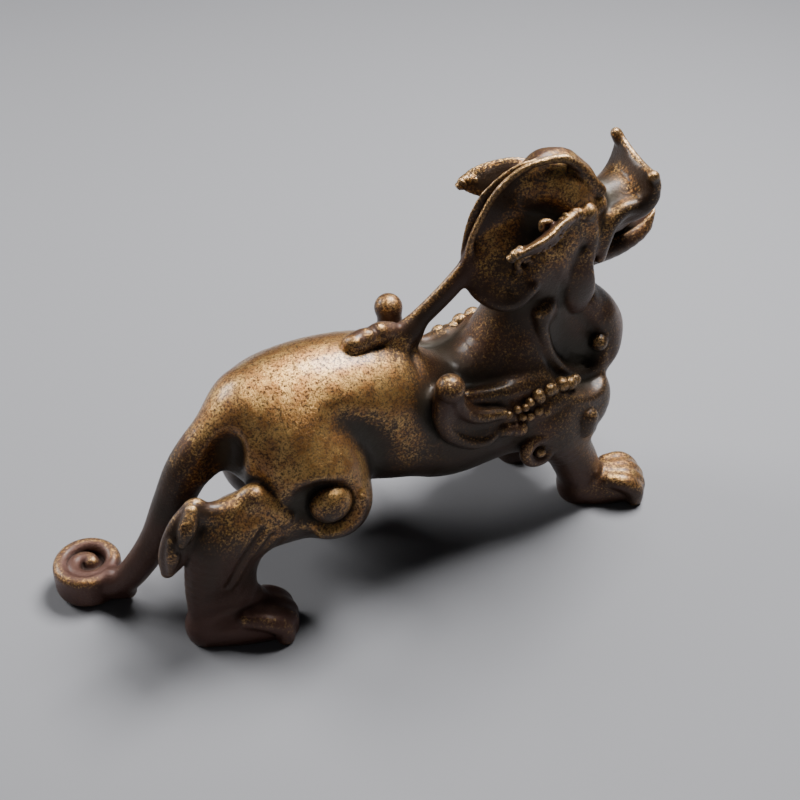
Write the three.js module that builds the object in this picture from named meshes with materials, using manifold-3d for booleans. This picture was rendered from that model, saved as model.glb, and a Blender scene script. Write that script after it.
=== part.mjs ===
// A small solid-cast bronze pixiu, the winged lion of Chinese tradition, striding with its head raised.
// Millimetres. +X runs to the head, +Y to the figure's left flank, +Z up, and the soles stand on Z = 0.
import * as THREE from 'three';
import { mergeVertices } from 'three/addons/utils/BufferGeometryUtils.js';
import Module from 'manifold-3d';

const wasm = await Module();
wasm.setup();

// Driving sizes
const figureLength = 86;
const toeRadius = 1.2;
const tailBandThickness = 2.6;
const tailBandHeight = 5.2;
const crestRadius = 0.75;
const strapRadius = 1.4;
const noseThickness = 2.2;
const beardThickness = 2.2;
const eyeRadius = 1.5;
const beadRadius = 1.0;
const wingBallRadius = 1.8;
const strandRadius = 1.1;
const kneeBossRadius = 2.6;
const elbowRingRadius = 2.0;
const seamEdge = 0.3;

// The pose, the limbs and the carving are laid out in 86ths of the length.
const unit = figureLength / 86;
const toe = toeRadius / unit;
const crest = crestRadius / unit;
const strand = strandRadius / unit;
const bead = beadRadius / unit;

const RIGHT = -1;
const LEFT = 1;
const ACROSS = new THREE.Vector3(0, 1, 0);
const AHEAD = new THREE.Vector3(1, 0, 0);
const UPWARD = new THREE.Vector3(0, 0, 1);

// The head has a frame of its own: pitched up, turned a little to the right and tilted.
const headPitch = 20;
const headYaw = -6;
const headTilt = 8;
const headCentre = new THREE.Vector3(24.6, 0, 48.2);
const degrees = THREE.MathUtils.degToRad;
const headTurn = new THREE.Matrix4().makeRotationZ(degrees(headYaw))
  .multiply(new THREE.Matrix4().makeRotationY(-degrees(headPitch)))
  .multiply(new THREE.Matrix4().makeRotationX(degrees(headTilt)));
const MUZZLE = AHEAD.clone().transformDirection(headTurn);
const CHEEK = ACROSS.clone().transformDirection(headTurn);
const CROWN = UPWARD.clone().transformDirection(headTurn);

function onHead(side, rows) {
  return rows.map(([a, b, c, radius]) => {
    const place = new THREE.Vector3(a, side * b, c).applyMatrix4(headTurn).add(headCentre);
    return [...place.toArray(), radius];
  });
}

function onSide(side, rows) {
  return rows.map(([x, y, z, radius]) => [x, side * y, z, radius]);
}

function solidOf(geometry) {
  geometry.deleteAttribute('normal');
  geometry.deleteAttribute('uv');
  const closed = mergeVertices(geometry, 1e-5);
  return new wasm.Manifold(new wasm.Mesh({
    numProp: 3,
    vertProperties: Float32Array.from(closed.attributes.position.array),
    triVerts: Uint32Array.from(closed.index.array),
  }));
}

// One stroke of modelling wax: a capsule bent along a smooth curve through rows of [x, y, z, radius].
// Along the direction face it is flat times as wide. A ribbon's thickness across its face is thin.
function stroke(rows, { flat = 1, thin = 0, face = ACROSS, sides = 6, rings = 2 * rows.length - 2, caps = 2 } = {}) {
  const knots = rows.length > 1 ? rows : [rows[0], [rows[0][0] + 0.02, ...rows[0].slice(1)]];
  const curve = new THREE.CatmullRomCurve3(
    knots.map(([x, y, z]) => new THREE.Vector3(x, y, z).multiplyScalar(unit)), false, 'centripetal');
  const spans = knots.length - 1;
  const geometry = new THREE.CapsuleGeometry(1, spans, caps, sides, Math.max(rings, 1));
  const position = geometry.attributes.position;
  for (let i = 0; i < position.count; i++) {
    const along = THREE.MathUtils.clamp(position.getY(i) + spans / 2, 0, spans);
    const beyond = position.getY(i) + spans / 2 - along;
    const span = Math.min(Math.floor(along), spans - 1);
    const radius = unit * THREE.MathUtils.lerp(knots[span][3], knots[span + 1][3], along - span);
    const across = thin ? thin / 2 : radius;
    const way = curve.getTangent(along / spans);
    const wide = face.clone().addScaledVector(way, -face.dot(way)).normalize();
    const place = curve.getPoint(along / spans)
      .addScaledVector(wide, flat * radius * position.getZ(i))
      .addScaledVector(new THREE.Vector3().crossVectors(way, wide), across * position.getX(i))
      .addScaledVector(way, across * beyond);
    position.setXYZ(i, ...place.toArray());
  }
  return solidOf(geometry);
}

// A flat spiral of rows in the plane of across and upward, from the angle start through turn degrees.
function spiral(centre, across, upward, { start, turn, reach, radius, count }) {
  return Array.from({ length: count + 1 }, (_, i) => {
    const share = i / count;
    const angle = degrees(start + turn * share);
    const out = THREE.MathUtils.lerp(...reach, share);
    const place = centre.clone()
      .addScaledVector(across, out * Math.cos(angle))
      .addScaledVector(upward, out * Math.sin(angle));
    return [...place.toArray(), THREE.MathUtils.lerp(...radius, share)];
  });
}

function trunk() {
  return [
    stroke([[-14.8, 0, 24.6, 6.8], [-10.5, 0, 24.0, 8.6], [-3, 0, 22.6, 8.9], [5, 0, 20.8, 8.6], [14, 0, 19.4, 8.5],
      [22, 0, 18.8, 8.8], [26.5, 0, 18.0, 8.5]], { flat: 0.95, sides: 20, rings: 10, caps: 3 }),
    stroke([[14.5, 0, 21.5, 8.0], [18.4, 0, 26, 7.2], [20.4, 0, 30.5, 5.8], [22.5, 0, 36, 5.2], [23, 0, 41, 5.4]],
      { flat: 0.88, sides: 14, rings: 7 }),
  ];
}

// The tail sweeps down behind the hocks and ends in a tall band that is coiled flat on the ground.
function tail() {
  const coilCentre = new THREE.Vector3(-39.2, 7.4, tailBandHeight / 2 / unit);
  const band = tailBandHeight / 2 / unit;
  const coil = spiral(coilCentre, new THREE.Vector3(0.9, -0.44, 0), new THREE.Vector3(-0.44, -0.9, 0),
    { start: 55, turn: 480, reach: [3.6, 0.9], radius: [band, band], count: 16 });
  return [
    stroke([[-15.5, 0, 26.6, 6.0], [-20.6, 0, 25.2, 4.4], [-25.4, 0, 21.4, 3.0], [-28.3, 0.4, 16.2, 2.5],
      [-30.8, 1.0, 10.4, 2.1], [-33.6, 1.9, 6.0, 1.9], [-36.2, 3.1, 3.2, 1.8], [-38.0, 4.2, 2.6, 1.8]],
    { flat: 0.92, sides: 10, rings: 10 }),
    stroke(coil, { thin: tailBandThickness, face: UPWARD, rings: 16, caps: 1 }),
  ];
}

// A block paw with four toes: heel is [x, y], and turn is how far it points outward, in degrees.
function paw(heel, turn, long) {
  const ahead = AHEAD.clone().applyAxisAngle(UPWARD, degrees(turn));
  const aside = ACROSS.clone().applyAxisAngle(UPWARD, degrees(turn));
  const at = (forward, sideways, z, radius) => [
    heel[0] + forward * ahead.x + sideways * aside.x, heel[1] + forward * ahead.y + sideways * aside.y, z, radius];
  const palm = stroke([at(0, 0, 1.6, 3.1), at(long * 0.4, 0, 1.6, 3.3), at(long * 0.66, 0, 1.4, 3.3)],
    { flat: 1.05, face: UPWARD, sides: 10, rings: 2 });
  const toes = [-1.5, -0.5, 0.5, 1.5].map((place) => {
    const reach = long * (1 - 0.05 * Math.abs(place));
    return stroke([at(long * 0.5, 1.6 * place, 3.4, toe), at(reach * 0.78, 1.9 * place, 3.1, toe),
      at(reach * 0.93, 2 * place, 1.2, toe)], { sides: 5, rings: 2, caps: 1 });
  });
  return [palm, ...toes];
}

// A hind leg. knee, hock and foot are how far each stands ahead of the trailing leg's.
function hindLeg(side, { knee, hock, foot }) {
  const bossPlace = new THREE.Vector3(-11.2 + knee, side * 12.0, 18.8);
  const overhang = spiral(bossPlace, AHEAD, UPWARD,
    { start: 50, turn: 120, reach: [4.2, 3.9], radius: [0.8, 1.0], count: 5 });
  return {
    joined: [
      stroke(onSide(side, [[-13.6, 3.5, 24, 7.2], [-12 + 0.4 * knee, 5.9, 20.6, 7.0], [-9.9 + knee, 7.3, 16.3, 5.5]]),
        { sides: 14, rings: 4 }),
      stroke(onSide(side, [[-10.5 + knee, 7.4, 15.6, 4.4], [-15.5 + (knee + hock) / 2, 7.8, 16.6, 4.6],
        [-20.5 + hock, 8.0, 17.4, 4.9], [-25.0 + hock, 8.3, 16.6, 5.0], [-26.2 + (hock + foot) / 2, 8.9, 12.4, 4.6],
        [-27.6 + foot, 9.8, 8.0, 3.6], [-27.4 + foot, 10.1, 3.6, 3.4]]), { flat: 0.68, sides: 10, rings: 8 }),
      ...paw([-28.0 + foot, side * 10.1], side * 17, 10.2),
      ...hockHair(side, hock),
    ],
    cut: [stroke(overhang, { sides: 4, rings: 5, caps: 1 })],
    raised: [stroke([[bossPlace.x, side * 11.4, 18.4, kneeBossRadius / unit]], { flat: 0.6, sides: 8 })],
  };
}

// A lock of hair runs back from a knob on the shank and hangs behind the hock as a rolled leaf.
function hockHair(side, forward) {
  return [
    stroke(onSide(side, [[-20.0 + forward, 8.9, 22.2, 1.8]])),
    stroke(onSide(side, [[-20.0 + forward, 8.6, 21.4, 1.5], [-24.5 + forward, 8.4, 21.4, 1.6],
      [-28.2 + forward, 8.3, 21.4, 1.7]]), { rings: 2, caps: 1 }),
    stroke(onSide(side, [[-28.2 + forward, 8.2, 21.6, 1.6], [-29.8 + forward, 8.3, 19.4, 2.3],
      [-31.0 + forward, 8.3, 16.0, 2.1], [-31.4 + forward, 8.2, 13.4, 1.2]]), { flat: 0.75, rings: 4 }),
  ];
}

function frontLeg(side, step) {
  const elbow = new THREE.Vector3(21.5 + 0.3 * step, side * 8.7, 13.8);
  const ring = elbowRingRadius / unit;
  return [
    stroke(onSide(side, [[23.4, 3.5, 18.0, 6.6], [24.6 + 0.3 * step, 6.0, 14.8, 4.6], [27 + 0.7 * step, 7.8, 10.2, 3.3],
      [29.3 + step, 8.5, 6.0, 3.0], [29.8 + step, 8.7, 3.4, 3.0]]), { sides: 10, rings: 5 }),
    ...paw([29.3 + step, side * 8.6], side * 22, 8.8),
    stroke(spiral(elbow, AHEAD, UPWARD, { start: 60, turn: 330, reach: [ring, ring - 0.5], radius: [0.95, 0.8], count: 7 }),
      { sides: 4, rings: 7, caps: 1 }),
    stroke([[elbow.x, side * 8.9, 13.7, 0.9]], { sides: 5, caps: 1 }),
  ];
}

function skull() {
  return [
    stroke(onHead(1, [[-2.5, 0, -0.5, 5.6], [1.8, 0, -0.8, 5.6]]), { sides: 12, rings: 1 }),
    stroke(onHead(1, [[0.2, 0, 3.7, 3.9], [1.6, 0, 3.7, 4.0]]), { sides: 12, rings: 1 }),
    stroke(onHead(1, [[3, 0, -3.8, 5.4], [7, 0, -6.0, 4.6], [10.2, 0, -6.8, 3.7]]),
      { flat: 0.72, face: CROWN, sides: 12, rings: 4 }),
    stroke(onHead(1, [[-1.5, 0, -5, 5.8], [-2.6, 0, -10.5, 4.8]]), { flat: 0.88, face: CHEEK, sides: 8, rings: 1 }),
  ];
}

// The lower jaw is a shallow leaf with an upturned tip, and the tongue lies in it.
function jaw() {
  const leaf = stroke(onHead(1, [[-1.5, 0, -9.2, 4.2], [3.0, 0, -10.6, 3.8], [7.5, 0, -11.8, 3.1], [11.0, 0, -12.0, 2.2],
    [12.6, 0, -11.4, 1.3]]), { flat: 0.6, face: CROWN, sides: 8, rings: 5 });
  const hollow = stroke(onHead(1, [[5.6, 0, -9.6, 2.2], [9.4, 0, -10.4, 1.8], [13, 0, -9.8, 1.5]]), { rings: 2 });
  const tongue = stroke(onHead(1, [[3.4, 0, -10.4, 1.2], [8, 0, -11.2, 1.0], [10.6, 0, -10.8, 0.7]]),
    { sides: 5, rings: 2, caps: 1 });
  return [leaf.subtract(hollow), tongue];
}

// The nose ends in a wide plate that rolls up and back like a scoop, with a horn at each corner.
function nose() {
  const plate = stroke(onHead(1, [[6.4, 0, -4.6, 3.6], [9.6, 0, -5.0, 4.1], [12.2, 0, -3.8, 4.6], [13.2, 0, -2.2, 4.8],
    [12.9, 0, -1.2, 4.4]]), { thin: noseThickness, face: CHEEK, sides: 8, rings: 6 });
  const horns = [RIGHT, LEFT].map((side) => stroke(onHead(side, [[12.7, 4.1, -2.6, 0.9], [12.9, 4.9, -0.8, 0.8]]),
    { sides: 5, rings: 1 }));
  return [plate, ...horns];
}

function face(side) {
  return [
    stroke(onHead(side, [[1.4, 2.6, 3.0, 2.9]])),
    stroke(onHead(side, [[4.8, 4.3, -2.0, eyeRadius / unit]])),
    stroke(onHead(side, [[7.0, 2.4, -1.2, 0.8], [5.4, 4.2, -0.1, 1.0], [3.3, 5.2, -0.4, 1.2]]),
      { sides: 4, rings: 3, caps: 1 }),
    stroke(onHead(side, [[10.8, 4.0, -5.0, 0.9], [8.4, 4.5, -3.8, 1.0], [5.6, 5.0, -4.8, 1.1], [3.4, 5.0, -7.0, 1.0],
      [2.6, 4.6, -9.4, 0.8]]), { sides: 4, rings: 5, caps: 1 }),
    stroke(onHead(side, [[0.4, 4.8, -7.6, 1.3], [-0.4, 4.8, -10.6, 2.3], [-1.4, 4.7, -13.9, 2.1]]),
      { flat: 0.62, face: CHEEK, rings: 3 }),
    stroke(onHead(side, [[9.6, 2.9, -8.2, 0.9], [9.8, 2.9, -10.2, 0.4]]), { sides: 4, rings: 1, caps: 1 }),
  ];
}

// Two scooped manes stand back to back behind the brow, and their rims meet in the crest.
function mane() {
  const block = stroke(onHead(1, [[-1, 0, 1.2, 5.6], [-5, 0, -0.4, 6.5], [-9.0, 0, -3.2, 4.4], [-10.6, 0, -4.6, 3.0]]),
    { flat: 0.8, face: CHEEK, sides: 14, rings: 5 });
  const scoops = [RIGHT, LEFT].map((side) => stroke(
    onHead(side, [[-4.2, 6.7, 2.6, 4.5], [-6.8, 6.5, -0.2, 4.9], [-9.0, 6.0, -2.8, 3.9]]), { sides: 12, rings: 3 }));
  const rims = [RIGHT, LEFT].map((side) => stroke(onHead(side, [[5.2, 2.4, 1.2, crest], [4.2, 2.2, 4.4, crest],
    [0.9, 1.5, 7.1, crest], [-2.9, 1.2, 7.1, crest], [-7.2, 1.1, 4.7, crest], [-10, 1.1, 2.3, crest],
    [-12.2, 1.3, -1.2, crest], [-12.9, 2.2, -4.4, 1.0], [-11.8, 4.3, -6.6, 1.2], [-9.8, 6.0, -6.8, 1.5],
    [-7.2, 6.6, -5.0, 1.2]]), { sides: 5, rings: 16, caps: 1 }));
  const floors = [RIGHT, LEFT].map((side) => stroke(onHead(side, [[-4, 3, -6, 2.6], [-8.0, 4.3, -5.6, 2.2]]), { rings: 1 }));
  return [scoops.reduce((whole, scoop) => whole.subtract(scoop), block), ...rims, ...floors];
}

// A leaf-shaped ear lies along the mane with a rope on its upper edge and a scroll under its tip.
function ear(side) {
  const [scroll] = onHead(side, [[-7.7, 6.9, -2.0, 0]]);
  return [
    stroke(onHead(side, [[1.6, 5.0, 0.4, 1.1], [-1.0, 6.2, 0.9, 1.9], [-3.6, 7.1, 1.0, 2.4], [-6.0, 7.8, 0.8, 1.6],
      [-8.2, 8.1, 1.4, 0.6]]), { flat: 0.42, face: CHEEK, rings: 5, caps: 1 }),
    stroke(onHead(side, [[3.0, 5.1, 0.0, 1.0], [1.0, 6.0, 1.4, 0.8], [-2.9, 7.3, 1.4, 0.85], [-8, 8.1, 1.9, 0.6]]),
      { sides: 4, rings: 4, caps: 1 }),
    stroke(onHead(side, [[-1.0, 4.6, -3.0, 2.4], [-4.6, 5.2, -3.2, 2.2], [-7.4, 6.2, -2.2, 1.9]]), { rings: 2 }),
    stroke(spiral(new THREE.Vector3(...scroll.slice(0, 3)), MUZZLE, CROWN,
      { start: 60, turn: 300, reach: [1.8, 1.3], radius: [0.75, 0.6], count: 6 }), { sides: 4, rings: 6, caps: 1 }),
  ];
}

// A ribbon of mane runs from the crest down to the back and ends there in a small cross bar.
function strap() {
  const thick = strapRadius / unit;
  const [root] = onHead(1, [[-12.2, 0, -2.6, thick]]);
  return [
    stroke([root, [10.6, 0, 38.4, thick], [7.2, 0, 36.3, thick], [3.4, 0, 34.2, thick], [-0.4, 0, 32.8, thick]],
      { rings: 6 }),
    stroke([[-1.2, -2.7, 32.2, 1.3], [-1.2, 2.7, 32.2, 1.3]], { face: UPWARD, rings: 1 }),
    stroke([[0, 0, 32.2, 1.6], [-2.8, 0, 32.7, 1.2]], { rings: 1 }),
  ];
}

// The beard is a ribbon that falls on the chest and rolls up again at its end, where it has a knob.
function beard() {
  return [
    stroke([[25.2, 0, 34, 3.0], [25.4, 0, 28, 3.4], [28.0, 0, 23.2, 3.6], [32.0, 0, 20.8, 3.7], [36.0, 0, 21.2, 3.5],
      [38.0, 0, 23.8, 3.3], [37.6, 0, 26.6, 2.8], [36.0, 0, 28.2, 1.8]], { thin: beardThickness, rings: 11 }),
    stroke([[25.5, 0, 30, 3.2], [29.5, 0, 26.5, 3.0], [34, 0, 24.6, 2.6]], { flat: 0.7, rings: 2 }),
    stroke([[31.6, -3.0, 21.8, 1.0], [34.2, -3.0, 23.6, 1.0], [33.2, -3.2, 25.9, 1.2]], { sides: 5, rings: 3, caps: 1 }),
  ];
}

// Each wing is three strands that sweep back along the flank from rows of beads and curl up to a ball.
function wing(side) {
  const strands = [
    [[18.9, 7.9, 21.6], [15.9, 7.9, 21.0], [11.0, 7.5, 22.9], [8.2, 7.8, 26], [6.7, 9.1, 30]],
    [[16.6, 8.0, 18.4], [12.4, 7.9, 18.3], [9.7, 8.0, 19.1], [7.1, 8.0, 21.4], [6.0, 7.9, 25], [6.2, 8.9, 29]],
    [[16, 8.1, 19.8], [12.9, 8.0, 19.9], [10.1, 8.0, 20.5], [8.0, 7.8, 23.1], [7.2, 8.2, 26.5]],
  ];
  const beads = [[24.9, 8.0, 22.6], [22.7, 8.2, 22.5], [21.0, 8.2, 22.3], [22.6, 8.9, 20.6], [20.3, 8.6, 20.0],
    [18.8, 8.3, 19.2], [16.7, 8.1, 18.5]];
  return [
    ...strands.map((rows) => stroke(onSide(side, rows.map((row) => [...row, strand])),
      { sides: 4, rings: rows.length, caps: 1 })),
    stroke(onSide(side, [[6.6, 9.3, 30.6, wingBallRadius / unit]])),
    ...beads.map((place) => stroke(onSide(side, [[...place, bead]]), { sides: 5, caps: 1 })),
    stroke(onSide(side, [[28.2, 7.9, 17.6, 1.3], [28.6, 7.6, 16.0, 1.3]]), { sides: 5, rings: 1 }),
    stroke(onSide(side, [[27.4, 5.4, 21.2, 2.6]])),
  ];
}

function joinAll(solids) {
  return solids.reduce((whole, solid) => whole.add(solid));
}

function cast() {
  const legs = [hindLeg(RIGHT, { knee: 0, hock: 0, foot: 0 }), hindLeg(LEFT, { knee: 8, hock: 15, foot: 19 })];
  const body = joinAll([...trunk(), ...tail(), ...legs.flatMap((leg) => leg.joined), ...frontLeg(RIGHT, 0),
    ...frontLeg(LEFT, -7)]);
  const carved = legs.flatMap((leg) => leg.cut).reduce((whole, cut) => whole.subtract(cut), body);
  return joinAll([carved, ...legs.flatMap((leg) => leg.raised), ...mane(), ...skull(), ...jaw(), ...nose(), ...strap(),
    ...beard(), ...[RIGHT, LEFT].flatMap((side) => [...face(side), ...ear(side), ...wing(side)])]);
}

// The soles and the tail's coil are cut level, so that the figure stands.
function levelled(solid) {
  const depth = 20;
  const below = new THREE.BoxGeometry(2 * figureLength, 2 * figureLength, depth).translate(0, 0, -depth / 2);
  return solid.subtract(solidOf(below));
}

// Joining leaves slivers along the seams. Edges shorter than seamEdge are drawn together to one corner,
// where the two faces beside the edge are the only ones that its corners share and no face turns over.
function seamsCleaned(corners, faces) {
  const around = corners.map(() => new Set());
  faces.forEach((face, index) => face.forEach((corner) => around[corner].add(index)));
  const neighbours = (corner) => new Set([...around[corner]].flatMap((index) => faces[index]));
  const normalOf = (face) => new THREE.Triangle(...face.map((corner) => corners[corner])).getNormal(new THREE.Vector3());
  const canClose = (kept, lost) => {
    const nearLost = neighbours(lost);
    const shared = [...neighbours(kept)].filter((corner) => nearLost.has(corner));
    return shared.length === 4 && [...around[lost]].every((index) => faces[index].includes(kept)
      || normalOf(faces[index]).dot(normalOf(faces[index].map((corner) => (corner === lost ? kept : corner)))) > 0.7);
  };
  const close = (kept, lost) => {
    for (const index of around[lost]) {
      if (faces[index].includes(kept)) {
        faces[index].forEach((corner) => around[corner].delete(index));
        faces[index] = null;
      } else {
        faces[index] = faces[index].map((corner) => (corner === lost ? kept : corner));
        around[kept].add(index);
      }
    }
  };
  for (let index = 0; index < faces.length; index++) {
    for (let side = 0; side < 3 && faces[index]; side++) {
      const kept = faces[index][side];
      const lost = faces[index][(side + 1) % 3];
      if (corners[kept].distanceTo(corners[lost]) < seamEdge && canClose(kept, lost)) close(kept, lost);
    }
  }
  return faces.filter((face) => face);
}

function geometryOf(solid) {
  const { vertProperties, triVerts } = solid.getMesh();
  const corners = Array.from({ length: vertProperties.length / 3 },
    (_, i) => new THREE.Vector3().fromArray(vertProperties, 3 * i));
  const faces = Array.from({ length: triVerts.length / 3 }, (_, i) => [...triVerts.subarray(3 * i, 3 * i + 3)]);
  const geometry = new THREE.BufferGeometry().setFromPoints(corners);
  geometry.setIndex(seamsCleaned(corners, faces).flat());
  const used = geometry.toNonIndexed();
  used.computeBoundingBox();
  const middle = used.boundingBox.getCenter(new THREE.Vector3());
  geometry.translate(-middle.x, -middle.y, -used.boundingBox.min.z);
  geometry.computeVertexNormals();
  return geometry;
}

const bronze = new THREE.MeshStandardMaterial({ color: 0x5b4125, roughness: 0.42, metalness: 0.9 });
const pixiu = new THREE.Mesh(geometryOf(levelled(cast())), bronze);
pixiu.name = 'pixiu';

const group = new THREE.Group();
group.add(pixiu);
export default group;
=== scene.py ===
"""The finish of a small solid-cast bronze pixiu, the winged lion of Chinese tradition.

It strides with its head raised. The figure is modelled like wax, in millimetres, by strokes that are laid
on and cut away. Its surface is then taken off as a fine mesh in metres, and the patina goes on by how hollow
or how worn each place is. Where a place faces up, the patina is made lighter and more golden, which is
painted light from above.
"""
import math
from functools import partial

import bpy
import numpy as np
import openvdb
from mathutils import Matrix, Vector


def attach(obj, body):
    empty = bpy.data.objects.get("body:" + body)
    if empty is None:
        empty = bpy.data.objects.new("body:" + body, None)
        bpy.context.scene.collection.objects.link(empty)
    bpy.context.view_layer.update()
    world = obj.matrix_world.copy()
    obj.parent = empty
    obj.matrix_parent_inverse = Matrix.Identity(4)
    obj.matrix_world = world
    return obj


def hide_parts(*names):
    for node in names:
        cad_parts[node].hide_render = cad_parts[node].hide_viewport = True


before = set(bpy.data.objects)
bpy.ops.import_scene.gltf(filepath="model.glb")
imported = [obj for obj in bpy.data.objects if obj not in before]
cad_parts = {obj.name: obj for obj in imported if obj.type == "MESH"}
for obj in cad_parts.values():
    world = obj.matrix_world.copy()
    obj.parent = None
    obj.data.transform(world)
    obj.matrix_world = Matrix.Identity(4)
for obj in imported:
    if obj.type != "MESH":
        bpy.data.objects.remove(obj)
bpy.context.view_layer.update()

# The drawing is in millimetres, and its zero is a little ahead of the middle of the figure's box.
MILLIMETRE = 0.001
MIDDLE = np.array([-1.1, 0.0, 0.0])
RIGHT, LEFT = -1, 1
AHEAD, ACROSS, UPWARD = (1, 0, 0), (0, 1, 0), (0, 0, 1)


# Wax

BLOCK_LOW, BLOCK_HIGH = (-46, -18, -0.6), (46, 18, 60)
CELL, QUICK_CELL = 0.21, 0.34
# A point of the grid counts as this far outside the surface where there is no wax near it.
EMPTY = 3.0
# Distances are worked out this far beyond a stroke and what melts it in.
BAND = 1.2
# A curve's rows lie between these steps apart.
FINEST_STEP, COARSEST_STEP = 0.3, 1.4
LEAST_RADIUS = 0.05


def smooth_path(rows, step):
    """Rows of x, y, z, radius along a smooth curve through the given rows, at most step apart."""
    given = np.array(rows, float)
    if len(given) == 1:
        return np.vstack([given, given + [0.001, 0, 0, 0]])
    given = np.vstack([2 * given[0] - given[1], given, 2 * given[-1] - given[-2]])
    path = []
    for before, start, end, after in zip(given, given[1:], given[2:], given[3:]):
        first, middle, last = (max(np.linalg.norm((b - a)[:3]) ** 0.5, 1e-3) for a, b in
                               ((before, start), (start, end), (end, after)))
        leave = (start - before) / first - (end - before) / (first + middle) + (end - start) / middle
        arrive = (end - start) / middle - (after - start) / (middle + last) + (after - end) / last
        count = max(2, math.ceil(np.linalg.norm((end - start)[:3]) / step))
        t = np.linspace(0, 1, count, endpoint=False)[:, None]
        path.append((2 * t**3 - 3 * t**2 + 1) * start + (t**3 - 2 * t**2 + t) * (leave * middle)
                    + (3 * t**2 - 2 * t**3) * end + (t**3 - t**2) * (arrive * middle))
    path.append(given[-2][None])
    path = np.vstack(path)
    path[:, 3] = np.maximum(path[:, 3], LEAST_RADIUS)
    return path


def melt(a, b, soft):
    """The nearer of two surfaces, melted together over a width of soft."""
    near = np.maximum(soft - np.abs(a - b), 0) / soft
    return np.minimum(a, b) - near * near * (soft / 4)


def stretch(places, a, b, face, flat, thin):
    """How far places lie outside a stroke's stretch from row a to row b. Inside it they are below 0."""
    x, y, z = (axis - np.float32(start) for axis, start in zip(places, a))
    way = (b - a)[:3]
    square_length = max(float(way @ way), 1e-9)
    side = face - (face @ way) / square_length * way
    side = (side / max(np.linalg.norm(side), 1e-6)).astype(np.float32)
    way = way.astype(np.float32)
    share = np.clip((x * way[0] + y * way[1] + z * way[2]) / np.float32(square_length), 0, 1)
    x, y, z = x - share * way[0], y - share * way[1], z - share * way[2]
    radius = np.float32(a[3]) + share * np.float32(b[3] - a[3])
    square = x * x + y * y + z * z
    if flat == 1 and not thin:
        return np.sqrt(square) - radius
    across = x * side[0] + y * side[1] + z * side[2]
    across_square = across * across
    if thin:
        beyond = np.maximum(np.abs(across) - np.maximum(radius - thin / 2, 0), 0)
        return np.sqrt(beyond * beyond + np.maximum(square - across_square, 0)) - np.minimum(radius,
                                                                                             thin / 2)
    near = np.sqrt(square + across_square * np.float32(1 / flat**2 - 1))
    slope = np.sqrt(square + across_square * np.float32(1 / flat**4 - 1))
    return near * (near - radius) / np.maximum(slope, 1e-5)


class Wax:
    """A block of wax: on a grid of points, how far each lies outside the surface."""

    def __init__(self, low, high, cell):
        self.cell = cell
        self.low = np.array(low, np.float32)
        self.shape = tuple(math.ceil((top - bottom) / cell) + 1 for bottom, top in zip(low, high))
        self.field = np.full(self.shape, EMPTY, np.float32)
        steps = [np.arange(count, dtype=np.float32) for count in self.shape]
        self.axes = [start + np.float32(cell) * step for start, step in zip(self.low, steps)]

    def window(self, low, high):
        """The slices of the grid that hold the box from low to high."""
        spans = []
        for i in range(3):
            start = max(0, int((low[i] - self.low[i]) / self.cell))
            stop = min(self.shape[i], int((high[i] - self.low[i]) / self.cell) + 2)
            spans.append(slice(start, stop))
        return tuple(spans)

    def places(self, window):
        """The grid's x, y and z in a window, shaped to be worked with together."""
        x, y, z = (self.axes[i][window[i]] for i in range(3))
        return x[:, None, None], y[None, :, None], z[None, None, :]

    def lay(self, rows, flat=1.0, face=ACROSS, thin=0.0, soft=1.0, cut=False):
        """One stroke along rows of x, y, z, radius, melted in over soft, or cut away.

        Along face it is flat times as wide, or a band of the thickness thin that is as wide as its radius.
        """
        radii = [row[3] for row in rows]
        path = smooth_path(rows, np.clip(0.4 * np.mean(radii), FINEST_STEP, COARSEST_STEP))
        face = np.array(face, float) / np.linalg.norm(face)
        margin = soft + BAND
        most = path[:, 3].max() + margin
        whole = self.window(path[:, :3].min(0) - most, path[:, :3].max(0) + most)
        made = np.full([span.stop - span.start for span in whole], EMPTY, np.float32)
        for a, b in zip(path, path[1:]):
            reach = max(a[3], b[3], thin / 2) + margin
            window = self.window(np.minimum(a, b)[:3] - reach, np.maximum(a, b)[:3] + reach)
            part = tuple(slice(inner.start - outer.start, inner.stop - outer.start)
                         for inner, outer in zip(window, whole))
            made[part] = np.minimum(made[part], stretch(self.places(window), a, b, face, flat, thin))
        old = self.field[whole]
        self.field[whole] = -melt(-old, made, soft) if cut else melt(old, made, soft)

    def level(self):
        """Cuts off what lies below the ground."""
        self.field = np.maximum(self.field, -self.axes[2])

    def value(self, grid, places):
        """The value of a grid at places in millimetres, between its points."""
        along = np.clip((places - self.low) / self.cell, 0, np.array(self.shape) - 1.001)
        point = along.astype(int)
        beyond = along - point
        total = np.zeros(len(places))
        for corner in np.ndindex(2, 2, 2):
            share = np.prod(np.where(corner, beyond, 1 - beyond), axis=1)
            total += share * grid[tuple((point + corner).T)]
        return total

    def hollowness(self, reach):
        """How much wax is within reach of each point: a half on a flat surface, and more in a hollow."""
        solid = np.clip(0.5 - self.field / (1.5 * self.cell), 0, 1)
        width = max(1, round(reach / self.cell / 2))
        # Two rounds of running means look about equally far in every direction.
        for _ in range(2):
            for axis in range(3):
                solid = running_mean(solid, width, axis)
        return solid

    def surface(self):
        """The corners and faces of the surface."""
        grid = openvdb.FloatGrid(EMPTY)
        grid.copyFromArray(np.ascontiguousarray(self.field, np.float32))
        corners, triangles, quads = grid.convertToPolygons(isovalue=0.0, adaptivity=0.0)
        return corners * self.cell + self.low, [*triangles.tolist(), *quads.tolist()]


def running_mean(grid, width, axis):
    """The mean over width points on each side along one axis."""
    padding = [(width + 1, width) if i == axis else (0, 0) for i in range(3)]
    sums = np.cumsum(np.pad(grid, padding, mode="edge"), axis=axis, dtype=np.float32)
    count = sums.shape[axis]
    high = np.take(sums, np.arange(2 * width + 1, count), axis=axis)
    low = np.take(sums, np.arange(0, count - 2 * width - 1), axis=axis)
    return (high - low) / (2 * width + 1)


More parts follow.
